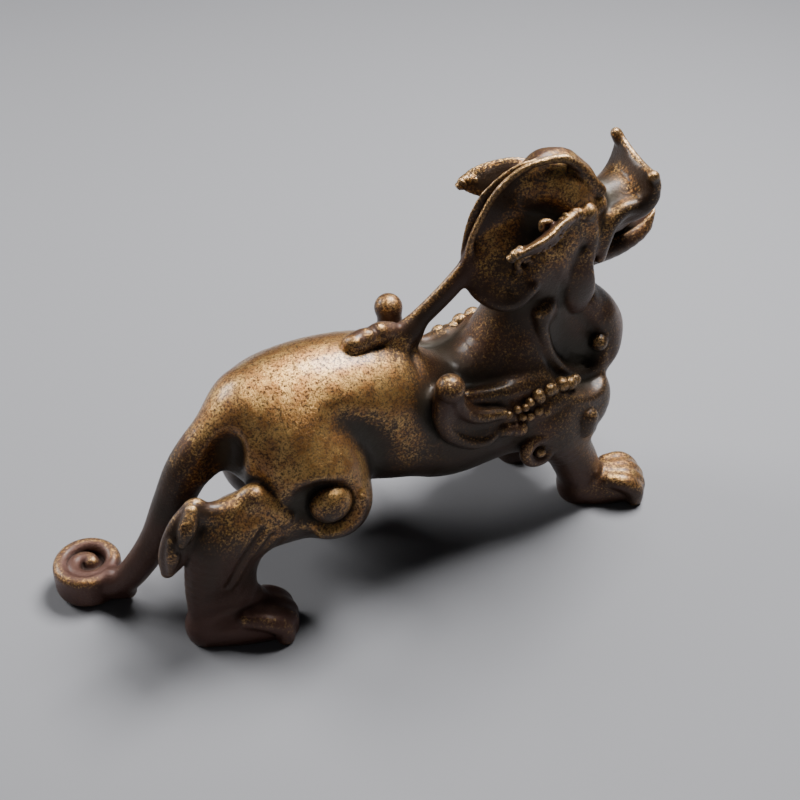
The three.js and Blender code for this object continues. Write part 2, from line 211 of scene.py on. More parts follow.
def on_side(side, rows):
    """Rows that are drawn for the left side, on the left or mirrored to the right."""
    return [(x, side * y, z, radius) for x, y, z, radius in rows]


def spiral(centre, across, upward, start, turn, reach, radius, count=16):
    """Rows of a flat spiral in the plane of across and upward, from start degrees through turn."""
    rows = []
    for i in range(count + 1):
        share = i / count
        angle = math.radians(start + turn * share)
        out = reach[0] + (reach[1] - reach[0]) * share
        way = math.cos(angle) * np.array(across) + math.sin(angle) * np.array(upward)
        rows.append((*(np.array(centre) + out * way), radius[0] + (radius[1] - radius[0]) * share))
    return rows


# The head has a frame of its own: pitched up, turned a little to the right and tilted.
HEAD_CENTRE = np.array([24.6, 0.0, 48.2])
HEAD_PITCH, HEAD_YAW, HEAD_TILT = (math.radians(angle) for angle in (20, -6, 8))
MUZZLE = np.array([math.cos(HEAD_PITCH) * math.cos(HEAD_YAW), math.cos(HEAD_PITCH) * math.sin(HEAD_YAW),
                   math.sin(HEAD_PITCH)])
LEVEL = np.array([-math.sin(HEAD_YAW), math.cos(HEAD_YAW), 0.0])
CHEEK = math.cos(HEAD_TILT) * LEVEL + math.sin(HEAD_TILT) * np.cross(MUZZLE, LEVEL)
CROWN = math.cos(HEAD_TILT) * np.cross(MUZZLE, LEVEL) - math.sin(HEAD_TILT) * LEVEL


def on_head(side, rows):
    """Rows of how far ahead of the head's centre, beside it and above it, and radius, on one side."""
    return [(*(HEAD_CENTRE + ahead * MUZZLE + side * beside * CHEEK + above * CROWN), radius)
            for ahead, beside, above, radius in rows]


# The body

# Sizes of the round parts, in millimetres, and the place on the ground round which the tail is coiled
EYE = 1.4
KNEE_BOSS = 2.85
WING_BALL = 1.95
BEARD_KNOB = 1.25
COIL = (-39.8, 7.2)


def trunk(wax):
    """The barrel, the arched back and the neck."""
    wax.lay([(-14.8, 0, 24.6, 6.8), (-10.5, 0, 24.0, 8.6), (-3, 0, 22.1, 8.9), (4.5, 0, 19.8, 8.7),
             (10, 0, 18.2, 8.9), (16, 0, 18.2, 8.6), (22, 0, 18.4, 8.8), (26.5, 0, 17.8, 8.5)], flat=0.95)
    # The back ends in a step down to the shoulders.
    wax.lay([(-16.5, 0, 27.6, 6.4), (-12.0, 0, 27.2, 7.8), (-7.0, 0, 26.8, 8.2), (-2.0, 0, 26.2, 7.9),
             (1.6, 0, 25.0, 7.2)], soft=2.5)
    # The neck
    wax.lay([(18.0, 0, 20.5, 7.0), (20.2, 0, 26, 6.6), (21.6, 0, 30.5, 5.6), (22.7, 0, 36, 5.2),
             (23, 0, 41, 5.4)], flat=0.88, soft=4.0)
    for side in (RIGHT, LEFT):
        # The flank draws in ahead of the thigh.
        wax.lay(on_side(side, [(-8.6, 9.4, 28.6, 1.2), (-6.0, 9.8, 26.2, 1.9), (-3.8, 10.1, 22.6, 2.4),
                               (-2.8, 9.7, 18.6, 2.2), (-2.8, 8.2, 14.6, 1.6)]), soft=3.6, cut=True)
        # The groove behind the shoulders
        wax.lay(on_side(side, [(4.6, 1.0, 32.0, 0.5), (4.9, 4.5, 30.9, 0.7), (5.3, 6.5, 29.9, 0.7),
                               (5.0, 8.2, 28.2, 0.5)]), soft=0.8, cut=True)


def tail(wax):
    """It sweeps down behind the hocks and ends in a tall band that is coiled flat on the ground."""
    wax.lay([(-15.5, 0, 26.6, 6.0), (-20.8, 0, 25.8, 4.2), (-25.8, 0, 22.2, 3.1), (-28.8, 0.2, 16.8, 2.6),
             (-31.3, 0.8, 11.2, 2.2), (-33.8, 1.6, 6.8, 2.1), (-36.0, 2.6, 3.8, 2.0),
             (-37.6, 3.6, 2.8, 2.0)], flat=0.92, soft=2.0)
    across, upward = (0.9, -0.44, 0), (-0.44, -0.9, 0)
    # The coil winds inward in two turns, and its floor lies below its rim.
    outer = spiral((*COIL, 2.6), across, upward, start=35, turn=300, reach=(3.7, 3.5), radius=(2.5, 2.6),
                   count=18)
    inner = spiral((*COIL, 2.5), across, upward, start=335, turn=330, reach=(3.5, 0.7), radius=(2.6, 2.4),
                   count=18)
    wax.lay(outer + inner[1:], thin=2.1, face=UPWARD, soft=0.3)
    wax.lay([(*COIL, 2.0, 3.6)], flat=0.5, face=UPWARD, soft=0.4)
    wax.lay([(-36.0, 2.6, 2.9, 2.4), (-37.2, 3.4, 2.7, 2.5)], thin=2.4, face=UPWARD, soft=0.8)


def paw(wax, heel, turn, long, broad):
    """A block paw with four toes. heel is x, y, and turn is how far it points outward, in degrees."""
    angle = math.radians(turn)
    ahead = np.array([math.cos(angle), math.sin(angle)])
    aside = np.array([-math.sin(angle), math.cos(angle)])

    def at(forward, sideways, z, radius):
        return (*(np.array(heel) + forward * ahead + sideways * aside), z, radius)

    # The block, and then the four toes
    wax.lay([at(0, 0, 1.5, broad), at(long * 0.35, 0, 1.6, broad * 1.05),
             at(long * 0.64, 0, 1.7, broad * 0.98)], flat=1.08, face=UPWARD, soft=1.2)
    for place in (-1.5, -0.5, 0.5, 1.5):
        reach = long * (1 - 0.055 * abs(place))
        aside_by = 0.52 * place * broad
        wax.lay([at(long * 0.44, 0.8 * aside_by, 4.0, 1.2), at(reach * 0.74, aside_by, 3.8, 1.4),
                 at(reach * 0.91, aside_by, 2.5, 1.4), at(reach * 0.93, aside_by, 0.8, 1.25)], soft=0.5)


def hind_leg(wax, side, knee, hock, foot):
    """A thigh, shank and paw. knee, hock and foot are how far each stands ahead of the trailing leg's."""
    wax.lay(on_side(side, [(-13.6, 3.5, 24, 7.2), (-12 + 0.4 * knee, 5.9, 20.8, 7.0),
                           (-9.9 + knee, 7.3, 16.6, 5.6)]), soft=2.5)
    # The hollow between the tail's root and the thigh
    wax.lay(on_side(side, [(-22.4, 5.6, 29.0, 2.0), (-22.9, 5.0, 26.4, 2.7), (-23.8, 4.9, 22.4, 2.8)]),
            soft=0.7, cut=True)
    # The shank runs back to the hock and then down to the foot.
    wax.lay(on_side(side, [(-10.5 + knee, 7.2, 15.8, 4.2), (-15.5 + (knee + hock) / 2, 7.6, 16.6, 4.5),
                           (-20.5 + hock, 7.9, 17.4, 4.8), (-25.0 + hock, 8.2, 16.6, 4.7),
                           (-26.6 + (hock + foot) / 2, 8.5, 12.6, 3.9), (-28.0 + foot, 8.6, 9.2, 2.8),
                           (-28.0 + foot, 8.3, 5.6, 2.7), (-28.0 + foot, 8.1, 3.0, 2.8)]),
            flat=0.72, soft=1.2)
    # The web between the shank and the paw
    wax.lay(on_side(side, [(-22.8 + hock, 8.2, 14.4, 3.4), (-24.2 + foot, 8.2, 9.6, 3.2),
                           (-24.0 + foot, 8.6, 6.0, 3.0), (-22.4 + foot, 9.2, 4.2, 2.6)]),
            flat=0.7, soft=1.8)
    paw(wax, heel=(-28.2 + foot, side * 8.0), turn=side * 20, long=11.8, broad=3.0)
    if side == LEFT:
        # The far thigh's inner side
        wax.lay([(-17.4, 3.6, 22.0, 3.4), (-17.6, 3.8, 18.6, 3.4), (-16.8, 4.6, 14.6, 3.2),
                 (-15.8, 5.6, 12.0, 3.0)], soft=2.0)
    knee_boss(wax, side, (-11.4 + knee, side * 11.2, 19.4))
    hock_hair(wax, side, hock)
    tendons(wax, side, hock, foot)


def knee_boss(wax, side, boss):
    """A round boss in a shallow dish, with a ridge behind it."""
    wax.lay([(boss[0] - 6.6, side * 13.4, 20.8, 2.6), (boss[0] - 3.6, side * 14.5, 20.4, 4.9),
             (boss[0] + 0.2, side * 15.2, 19.8, 5.2)], flat=0.86, soft=0.9, cut=True)
    wax.lay(spiral((boss[0] - 0.1, side * 12.0, boss[2] - 0.3), AHEAD, UPWARD, start=-110, turn=110,
                   reach=(4.3, 4.3), radius=(0.4, 0.4)), soft=1.6)
    wax.lay([(*boss, KNEE_BOSS)], flat=0.75, soft=0.35)


def hock_hair(wax, side, hock):
    """A lock of hair runs from the hock to a leaf with two rolled lobes, which hangs behind it."""
    # The lock, ahead of the hock and behind it
    wax.lay(on_side(side, [(-20.6 + hock, 8.9, 22.2, 1.45), (-19.2 + hock, 9.8, 20.8, 1.1),
                           (-17.4 + hock, 10.4, 18.6, 0.9)]), soft=1.0)
    wax.lay(on_side(side, [(-21.2 + hock, 8.6, 21.8, 1.3), (-23.4 + hock, 8.8, 21.4, 1.2),
                           (-25.4 + hock, 8.6, 21.4, 1.2), (-27.8 + hock, 8.3, 22.0, 1.3)]), soft=1.5)
    # The leaf, its two lobes and the grooves that part them
    wax.lay(on_side(side, [(-28.2 + hock, 8.2, 22.4, 1.7), (-29.8 + hock, 8.4, 20.2, 2.2),
                           (-31.4 + hock, 8.4, 16.6, 2.1), (-32.5 + hock, 8.3, 13.8, 1.0)]),
            flat=0.7, soft=0.5)
    wax.lay(on_side(side, [(-28.8 + hock, 9.0, 23.2, 0.9), (-29.8 + hock, 10.0, 21.6, 1.15),
                           (-30.6 + hock, 10.0, 19.6, 0.8)]), soft=0.15)
    wax.lay(on_side(side, [(-31.6 + hock, 9.2, 19.6, 0.8), (-32.0 + hock, 9.6, 17.2, 0.95),
                           (-32.4 + hock, 9.0, 14.4, 0.6)]), soft=0.15)
    wax.lay(on_side(side, [(-31.4 + hock, 10.4, 18.4, 0.3), (-30.4 + hock, 10.6, 18.8, 0.3)]),
            soft=0.2, cut=True)
    wax.lay(on_side(side, [(-27.6 + hock, 10.4, 21.2, 0.5), (-28.9 + hock, 11.0, 18.4, 0.75),
                           (-30.2 + hock, 10.5, 14.4, 0.6)]), soft=0.3, cut=True)


def tendons(wax, side, hock, foot):
    """Three grooves down the shank."""
    for shift in (0.0, 1.7, 3.4):
        wax.lay(on_side(side, [(-20.6 + hock + 0.7 * shift, 11.3, 18.4 - 0.9 * shift, 0.4),
                               (-23.2 + hock + 0.7 * shift, 11.5, 14.6 - 0.9 * shift, 0.6),
                               (-25.6 + (hock + foot) / 2 + 0.6 * shift, 11.2, 10.6 - 0.8 * shift, 0.4)]),
                soft=0.7, cut=True)


def front_leg(wax, side, step):
    """A leg and its elbow's volute. step is how far the foot stands ahead of the right one."""
    wax.lay(on_side(side, [(23.4, 3.5, 18.0, 6.6), (24.6 + 0.3 * step, 5.4, 15.0, 4.8),
                           (27.2 + 0.7 * step, 6.1, 10.4, 3.5), (29.0 + step, 6.2, 6.6, 3.3),
                           (30.1 + step, 6.0, 3.4, 3.1)]), soft=2.0)
    paw(wax, heel=(30.1 + step, side * 5.9), turn=side * 24, long=9.3, broad=3.1)
    elbow = (20.8 + 0.3 * step, side * 8.9, 14.2)
    wax.lay(spiral(elbow, AHEAD, UPWARD, start=60, turn=400, reach=(2.2, 1.7), radius=(1.0, 0.8)),
            soft=0.3)
    wax.lay([(elbow[0], side * 9.2, 14.1, 0.9)], soft=0.2)


# The head

def twisted(side, rows):
    """Rows of one half of the mane: the left half lies further forward and a little lower."""
    if side == LEFT:
        rows = [(ahead - 0.24 * min(ahead, 0), beside - 1.1, above - 0.18 * max(above, 0), radius)
                for ahead, beside, above, radius in rows]
    return on_head(side, rows)


def mane(wax):
    """Two shallow manes back to back: a thin wall between them, and a rim and a rolled lip on each side."""
    # The middle of the head, from which each mane is scooped
    wax.lay(on_head(RIGHT, [(0.4, 0, 1.6, 4.9), (-2.4, 0.2, 0.6, 4.6)]), flat=0.80, face=CHEEK, soft=1.2)
    wax.lay(on_head(RIGHT, [(1.8, 0, -0.8, 5.2), (2.6, 0, -2.8, 5.0)]), soft=1.5)
    wax.lay(on_head(RIGHT, [(-0.5, 0, -5, 5.6), (-1.6, 0, -10.5, 4.8)]), flat=0.88, face=CHEEK, soft=1.5)
    for side in (RIGHT, LEFT):
        wax.lay(twisted(side, [(-1.4, 6.4, 6.2, 4.8), (-5.4, 6.3, 3.6, 6.8), (-8.0, 6.0, 0.2, 5.6)]),
                flat=0.84, face=CHEEK, soft=0.8, cut=True)
    # The wall between the manes
    wax.lay(on_head(RIGHT, [(-2.6, 0.1, 1.9, 6.0), (-4.6, 0.1, 1.2, 6.0), (-7.4, 0.2, -1.6, 5.2),
                            (-9.4, 0.4, -4.0, 3.8)]), flat=0.13, face=CHEEK, soft=0.8)
    # The dome of the head and the temples
    wax.lay(on_head(RIGHT, [(1.0, -0.3, 4.3, 2.8), (2.0, -0.3, 3.2, 3.2), (3.0, -0.2, 0.4, 3.7)]),
            soft=0.8)
    for side in (RIGHT, LEFT):
        wax.lay(on_head(side, [(-0.4, 0.8, 3.0, 2.3), (2.6, 1.7, 1.4, 2.4)]), soft=1.8)
        # The rim rises over the brow, runs back along the crest and rolls in under it.
        wax.lay(twisted(side, [(6.2, 3.2, 0.2, 0.8), (5.2, 2.8, 2.6, 0.8), (4.5, 2.4, 4.9, 0.7),
                               (3.1, 1.9, 6.8, 0.6), (1.0, 1.5, 7.5, 0.5), (-1.1, 1.3, 7.9, 0.45),
                               (-3.0, 1.2, 7.7, 0.45), (-6.1, 1.2, 6.4, 0.45), (-8.8, 1.2, 3.9, 0.45),
                               (-11.5, 1.4, 0.6, 0.45), (-13.0, 2.0, -3.2, 0.55), (-13.3, 3.0, -5.0, 0.75),
                               (-12.6, 4.5, -6.2, 1.0), (-10.9, 5.6, -7.4, 1.25), (-9.0, 6.0, -7.8, 1.2),
                               (-7.0, 6.0, -7.0, 1.0)]), soft=0.4)
        # The floor of the bowl
        wax.lay(twisted(side, [(-4.6, 2.8, -5.8, 2.8), (-8.2, 3.2, -6.2, 2.6), (-11.2, 2.6, -5.0, 1.7)]),
                soft=2.2)
        wax.lay(twisted(side, [(-6.6, 1.0, -3.0, 1.8), (-10.2, 0.9, -2.6, 1.6)]), soft=2.4)


def muzzle(wax):
    """The muzzle above the jaw."""
    wax.lay(on_head(LEFT, [(3, 0, -4.6, 4.8), (7, 0, -6.7, 4.0), (9.8, 0, -7.2, 3.1)]),
            flat=0.72, face=CROWN, soft=1.2)


def jaw(wax):
    """The lower jaw is a shallow leaf with an upturned tip, and the tongue lies in it."""
    wax.lay(on_head(LEFT, [(-1.5, 0, -9.2, 4.2), (3.0, 0, -10.9, 3.9), (7.5, 0, -12.3, 3.3),
                           (11.0, 0, -12.5, 2.4), (12.8, 0, -11.6, 1.4)]), flat=0.62, face=CROWN, soft=0.8)
    wax.lay(on_head(LEFT, [(5.6, 0, -9.6, 2.2), (9.4, 0, -10.4, 1.8), (13, 0, -9.8, 1.5)]),
            soft=0.4, cut=True)
    wax.lay(on_head(LEFT, [(3.4, 0, -10.4, 1.2), (8, 0, -11.2, 1.0), (10.6, 0, -10.8, 0.7)]), soft=0.4)


def nose(wax):
    """The bridge of the nose sweeps forward, fans out and rolls up and back like a scoop."""
    # Strokes lie side by side from the right edge, -1, to the left edge, 1.
    for place in np.linspace(-1, 1, 15):
        edge = place * place
        wax.lay(on_head(LEFT, [(4.6, 2.2 * place, -3.2 - 1.4 * edge, 1.3),
                               (8.2, 3.3 * place, -3.9 - 2.2 * edge, 1.1),
                               (11.2, 4.5 * place, -3.8 - 1.5 * edge, 0.9),
                               (12.9, 4.85 * place, -1.9 - 0.6 * edge, 0.7),
                               (13.1, 4.9 * place, -1.6 + 1.0 * edge, 0.5)]), soft=0.5)
    for side in (RIGHT, LEFT):
        # The horn at the scoop's corner, the wing of the nose and its nostril
        wax.lay(on_head(side, [(12.8, 4.5, -1.2, 0.7), (12.8, 4.9, -0.3, 0.75)]), soft=0.4)
        wax.lay(on_head(side, [(12.4, 1.3, -5.3, 0.95)]), soft=0.9)
        wax.lay(on_head(side, [(13.5, 1.5, -5.7, 0.3)]), soft=0.3, cut=True)


def face(wax, side):
    """The eye, the lip and the lock behind the jaw. tuck is how far they are drawn in on the far side."""
    tuck = 1.0 if side == LEFT else 0.0
    wax.lay(on_head(side, [(5.2, 3.3 - 0.6 * tuck, -1.6 - tuck, EYE)]), soft=0.3)
    # The fold of the lip runs back from the scoop and down to the jaw.
    wax.lay(on_head(side, [(12.4, 4.4, -4.0 - tuck, 0.6), (10.4, 4.3 - tuck, -4.6 - 2 * tuck, 0.8),
                           (8.4, 4.1 - tuck, -4.2 - 2.4 * tuck, 1.0),
                           (6.2, 4.3 - tuck, -5.0 - 2 * tuck, 1.1), (4.6, 4.6 - tuck, -7.2 - tuck, 1.0),
                           (3.6, 4.5, -9.8, 0.8)]), soft=1.1)
    # The flat lock of hair behind the jaw, with a groove on each side
    wax.lay(on_head(side, [(-1.6, 2.9, -6.5, 2.9), (-2.6, 2.8, -10.5, 2.8), (-3.6, 2.6, -14.4, 2.6)]),
            soft=1.5)
    wax.lay(on_head(side, [(1.0, 5.2, -7.4, 1.5), (0.2, 5.7, -10.2, 2.2), (-0.7, 5.7, -13.0, 2.3),
                           (-1.3, 5.5, -15.2, 1.6)]), flat=0.4, face=CHEEK, soft=0.15)
    wax.lay(on_head(side, [(-1.9, 6.6, -7.0, 0.4), (-2.9, 6.6, -10.2, 0.6), (-3.6, 6.4, -13.4, 0.5)]),
            soft=0.5, cut=True)
    wax.lay(on_head(side, [(3.0, 6.0, -6.4, 0.5), (2.7, 6.0, -10.0, 0.7), (2.0, 5.6, -13.6, 0.6)]),
            soft=0.4, cut=True)


def roped_edge(side):
    """Rows along the upper edge of an ear."""
    return on_head(side, [(3.2, 4.9, -0.5, 0.75), (1.1, 5.6, 0.9, 0.8), (-0.6, 6.1, 0.9, 0.9),
                          (-2.8, 6.9, 0.1, 0.8), (-4.8, 7.2, 0.4, 0.65), (-7.8, 7.8, 2.1, 0.7),
                          (-8.5, 7.7, 1.5, 0.6)])


def ear(wax, side):
    """A leaf that stands out from the cheek and leans back, with a roped upper edge."""
    leaf = 0.63 * CROWN - 0.78 * side * CHEEK
    wax.lay(on_head(side, [(1.6, 5.0, -0.2, 1.1), (-1.0, 5.9, 0.6, 2.0), (-3.6, 6.7, 0.5, 2.5),
                           (-6.0, 7.4, 1.1, 1.9), (-7.9, 7.9, 1.6, 0.8)]), flat=0.3, face=leaf, soft=0.5)
    # The core of the rope, which its beads stand out from, the knob at its root and a small curl
    wax.lay([(x, y, z, radius - 0.1) for x, y, z, radius in roped_edge(side)], soft=0.3)
    wax.lay(on_head(side, [(3.4, 5.0, -0.4, 1.15)]), soft=0.15)
    wax.lay(on_head(side, [(-1.6, 5.8, 0.8, 0.5), (-2.0, 5.3, 1.6, 0.5), (-2.8, 5.2, 1.9, 0.5),
                           (-3.2, 5.6, 1.4, 0.4)]), soft=0.2)
    # The side of the head under the ear, and its small scroll
    wax.lay(on_head(side, [(2.6, 2.2, -2.4, 2.9), (-0.6, 2.8, -4.0, 2.8), (-3.4, 3.2, -4.4, 2.4)]),
            soft=1.2)
    scroll = on_head(side, [(-6.2, 4.9, -3.6, 0)])[0][:3]
    wax.lay(spiral(scroll, MUZZLE, CROWN, start=60, turn=400, reach=(1.4, 0.5), radius=(0.5, 0.4)),
            soft=0.3)
    # Folds of the cheek
    for start, middle, end in (((3.6, 4.6, -1.8), (3.2, 5.0, -5.0), (2.4, 4.9, -8.0)),
                               ((-2.6, 5.3, -2.8), (-2.2, 5.5, -6.0), (-2.0, 5.2, -9.4))):
        wax.lay(on_head(side, [(*start, 0.6), (*middle, 0.8), (*end, 0.6)]), soft=0.9)


def strap(wax):
    """A ribbon of mane from the crest down to the back, where it ends in a small cross bar."""
    root = on_head(RIGHT, [(-12.4, 1.6, -2.6, 1.5)])[0]
    wax.lay([root, (10.6, -0.2, 38.4, 1.5), (7.2, -0.2, 35.7, 1.5), (4.0, -0.4, 33.7, 1.6),
             (1.4, -0.6, 32.8, 1.8)], flat=0.62, soft=0.8)
    wax.lay([(5.0, -0.2, 33.0, 1.9), (2.4, -0.4, 31.4, 2.2)], flat=0.6, soft=1.5)
    # The cross bar has three lumps.
    wax.lay([(-3.4, -1.2, 34.9, 1.4), (-2.0, -1.0, 35.0, 1.5), (-0.6, -0.7, 34.8, 1.4),
             (0.8, -0.5, 34.9, 1.5), (2.4, -0.3, 34.6, 1.2)], soft=0.4)
    for place in ((-3.3, -1.6, 35.4, 1.0), (-1.4, -1.2, 35.5, 1.1), (0.6, -0.8, 35.6, 1.0)):
        wax.lay([place], soft=0.3)


def beard(wax):
    """A sheet of hair that falls down the chest and rolls up again, hollow towards each side."""
    # Room is cut on each side of the neck, and the root of the beard laid between.
    for side in (RIGHT, LEFT):
        wax.lay(on_side(side, [(25.4, 6.6, 31.0, 4.0), (28.2, 6.4, 27.0, 4.6), (31.4, 6.2, 25.0, 4.2)]),
                flat=0.8, soft=0.8, cut=True)
    wax.lay([(26.4, 0, 31.6, 4.2), (28.0, 0, 27.6, 4.6), (30.6, 0, 25.0, 4.2)], flat=0.85, soft=1.2)
    # Strokes lie side by side from the right edge, -1, to the left edge, 1.
    for place in np.linspace(-1, 1, 13):
        edge = place * place
        wax.lay([(24.6 - 2.2 * edge, 4.9 * place, 34.5, 1.1), (25.2 - 1.8 * edge, 4.6 * place, 30.0, 1.1),
                 (26.8 - 2.0 * edge, 4.0 * place, 25.4 + 0.6 * edge, 1.1),
                 (30.0 - 0.6 * edge, 3.8 * place, 21.6 + 0.6 * edge, 1.1),
                 (33.6 - 0.8 * edge, 3.6 * place, 20.4 + 0.9 * edge, 1.1),
                 (36.2 - 1.4 * edge, 3.2 * place, 22.2 + 0.6 * edge, 1.05),
                 (36.9 - 2.2 * edge, 2.9 * place, 25.2 - 0.6 * edge, 1.0),
                 (35.7 - 1.8 * edge, 2.6 * place, 27.8 - 0.8 * edge, 1.1),
                 (33.4 - 1.2 * edge, 2.4 * place, 30.2 - 0.8 * edge, 1.3), (30.6, 2.0 * place, 32.0, 1.5)],
                soft=1.2)
    for side in (RIGHT, LEFT):
        # The mass in the middle, the bowl on each side, its rim and its knob
        wax.lay(on_side(side, [(33.6, 1.8, 28.2, 2.0), (34.2, 1.8, 25.0, 2.2), (33.4, 1.8, 23.0, 2.1)]),
                soft=1.5)
        wax.lay(on_side(side, [(25.4, 8.0, 30.6, 4.0), (28.0, 8.8, 27.0, 5.5), (30.4, 8.2, 24.8, 4.6)]),
                soft=0.8, cut=True)
        wax.lay([(21.6, side * 5.2, 34.4, 0.7), (22.6, side * 5.0, 30.6, 0.8),
                 (24.0, side * 4.7, 26.6, 0.9), (26.4, side * 4.7, 23.2, 1.0),
                 (29.8, side * 4.5, 21.4, 1.0), (32.4, side * 4.0, 21.8, 0.9),
                 (33.6, side * 3.5, 23.8, 0.8)], soft=0.7)
        wax.lay([(32.4, side * 4.0, 25.6, BEARD_KNOB)], soft=0.4)


# Rows along the strings of beads: three on each shoulder, and one on the far side below the neck
NEAR_BEADS = [
    [(14.4, 8.9, 22.7, 0.5), (16.2, 8.9, 22.5, 0.6), (18.0, 8.8, 22.6, 0.55), (20.4, 8.5, 22.9, 0.8)],
    [(20.6, 8.2, 23.3, 0.9), (22.7, 7.9, 23.4, 1.0), (24.9, 7.4, 23.2, 1.1), (27.0, 6.9, 23.2, 0.8)],
    [(17.6, 9.0, 20.9, 0.6), (19.6, 8.8, 20.7, 0.75), (21.0, 8.6, 20.8, 0.9), (23.0, 8.3, 20.8, 0.8)],
]
FAR_BEADS = [(12.0, 6.9, 25.4, 0.9), (14.0, 6.8, 26.2, 1.3), (15.8, 6.6, 26.6, 1.0),
             (17.8, 6.6, 27.2, 1.35), (20.3, 6.4, 27.9, 0.9)]


def wing(wax, side):
    """A wing like a breaking wave: two crests run back, rise together and curl over in a ball."""
    lift = 1.1 if side == LEFT else 0.0
    # The body of the wing and its upright back end
    wax.lay(on_side(side, [(16.0, 6.2, 20.8, 2.6), (11.0, 6.6, 21.2, 2.6), (7.8, 6.9, 23.4, 2.1),
                           (6.6, 7.4, 26.6, 1.8)]), soft=1.6)
    wax.lay(on_side(side, [(6.6, 8.0, 25.4, 1.6), (6.5, 8.5, 28.2, 1.7), (6.5, 8.9, 29.6 + lift, 1.7)]),
            soft=0.6)
    # The upper crest, the lower one and the valley between them
    wax.lay(on_side(side, [(14.8, 8.8, 22.6, 0.7), (13.4, 8.7, 22.9, 0.85), (12.2, 8.7, 23.1, 0.95),
                           (10.2, 8.6, 23.9, 1.05), (8.6, 8.6, 25.4, 1.0), (7.9, 8.8, 27.2, 0.9),
                           (7.7, 9.0, 28.6, 0.8)]), soft=0.3)
    wax.lay(on_side(side, [(14.4, 8.4, 20.0, 0.8), (12.2, 8.8, 19.1, 0.95), (10.4, 8.8, 19.4, 1.05),
                           (8.3, 8.7, 20.6, 1.05), (6.5, 8.6, 22.5, 1.1), (5.5, 8.6, 25.5, 1.15),
                           (5.6, 8.9, 28.0, 1.2)]), soft=0.3)
    wax.lay(on_side(side, [(14.6, 9.7, 21.4, 0.6), (11.4, 9.9, 21.4, 1.0), (8.6, 9.9, 23.0, 0.9),
                           (7.0, 9.9, 25.4, 0.6), (6.6, 10.0, 27.2, 0.3)]), soft=0.5, cut=True)
    # The ball, with a groove under it
    wax.lay(on_side(side, [(6.5, 9.1, 30.0 + lift, WING_BALL)]), soft=0.25)
    wax.lay(on_side(side, [(6.4, 11.0, 28.7 + lift, 0.35), (7.7, 10.9, 29.4 + lift, 0.4)]),
            soft=0.2, cut=True)


def shoulder(wax, side):
    """What lies ahead of the wing: the chest, the shoulder's upper edge and boss, and the wing's root."""
    # The chest
    wax.lay(on_side(side, [(25.4, 6.2, 20.2, 2.4), (28.6, 5.7, 19.2, 2.7), (30.6, 5.0, 17.8, 3.1),
                           (29.0, 4.4, 15.8, 4.4)]), soft=2.0)
    # The upper edge, and the boss in front
    wax.lay(on_side(side, [(10.4, 6.6, 25.6, 0.7), (13.0, 6.7, 25.0, 0.9), (16.4, 6.9, 24.6, 1.0),
                           (20.8, 6.6, 24.2, 1.1), (25.4, 6.2, 23.4, 1.3)]), soft=1.8)
    wax.lay(on_side(side, [(28.4, 9.0, 17.2, 1.5), (28.0, 9.0, 15.4, 1.45)]), flat=0.8, soft=0.2)
    if side == LEFT:
        # The ridge that carries the far beads
        wax.lay([(x, y - 0.5, z - 0.6, radius + 0.2) for x, y, z, radius in FAR_BEADS], soft=1.8)
    # The root of the wing, with a groove across it
    wax.lay(on_side(side, [(14.8, 8.7, 19.9, 1.1), (17.4, 8.7, 19.2, 1.25)]), soft=0.2)
    wax.lay(on_side(side, [(15.9, 10.0, 19.6, 0.3), (15.7, 9.8, 18.4, 0.3)]), soft=0.15, cut=True)


def model(wax):
    """The whole figure. A later stroke covers or cuts what was laid before it."""
    trunk(wax)
    tail(wax)
    hind_leg(wax, RIGHT, knee=0, hock=0, foot=0)
    hind_leg(wax, LEFT, knee=8, hock=15, foot=19)
    front_leg(wax, RIGHT, step=0)
    front_leg(wax, LEFT, step=-4)
    mane(wax)
    muzzle(wax)
    jaw(wax)
    nose(wax)
    strap(wax)
    for side in (RIGHT, LEFT):
        wing(wax, side)
        shoulder(wax, side)
    beard(wax)
    for side in (RIGHT, LEFT):
        face(wax, side)
        ear(wax, side)
    wax.level()


# Nodes

def plug(tree, value, socket):
    """Links a socket to another one, or gives it a value of its own."""
    if isinstance(value, Value):
        value = value.socket
    if isinstance(value, bpy.types.NodeSocket):
        tree.links.new(value, socket)
    else:
        socket.default_value = value


def add_node(tree, kind, settings, sockets):
    """The outputs of a new node. Its settings are set first, and then its sockets are plugged."""
    made = tree.nodes.new(kind)
    for name, value in settings.items():
        setattr(made, name, value)
    for name, value in sockets.items():
        plug(tree, value, made.inputs[name])
    return made.outputs


class Value:
    """A number or colour that changes over a surface, as a socket that takes part in sums."""

    def __init__(self, finish, socket):
        self.finish = finish
        self.socket = socket

    def __add__(self, other):
        return self.finish.maths("ADD", self, other)

    def __sub__(self, other):
        return self.finish.maths("SUBTRACT", self, other)

    def __rsub__(self, other):
        return self.finish.maths("SUBTRACT", other, self)

    def __mul__(self, other):
        return self.finish.maths("MULTIPLY", self, other)

    __radd__ = __add__
    __rmul__ = __mul__

    def most(self, other):
        """The larger of two."""
        return self.finish.maths("MAXIMUM", self, other)

    def between(self, low, high):
        """0 below low, 1 above high, and smooth between them."""
        return self.finish.node("ShaderNodeMapRange", {"interpolation_type": "SMOOTHSTEP"},
                                {"Value": self, "From Min": low, "From Max": high}, "Result")


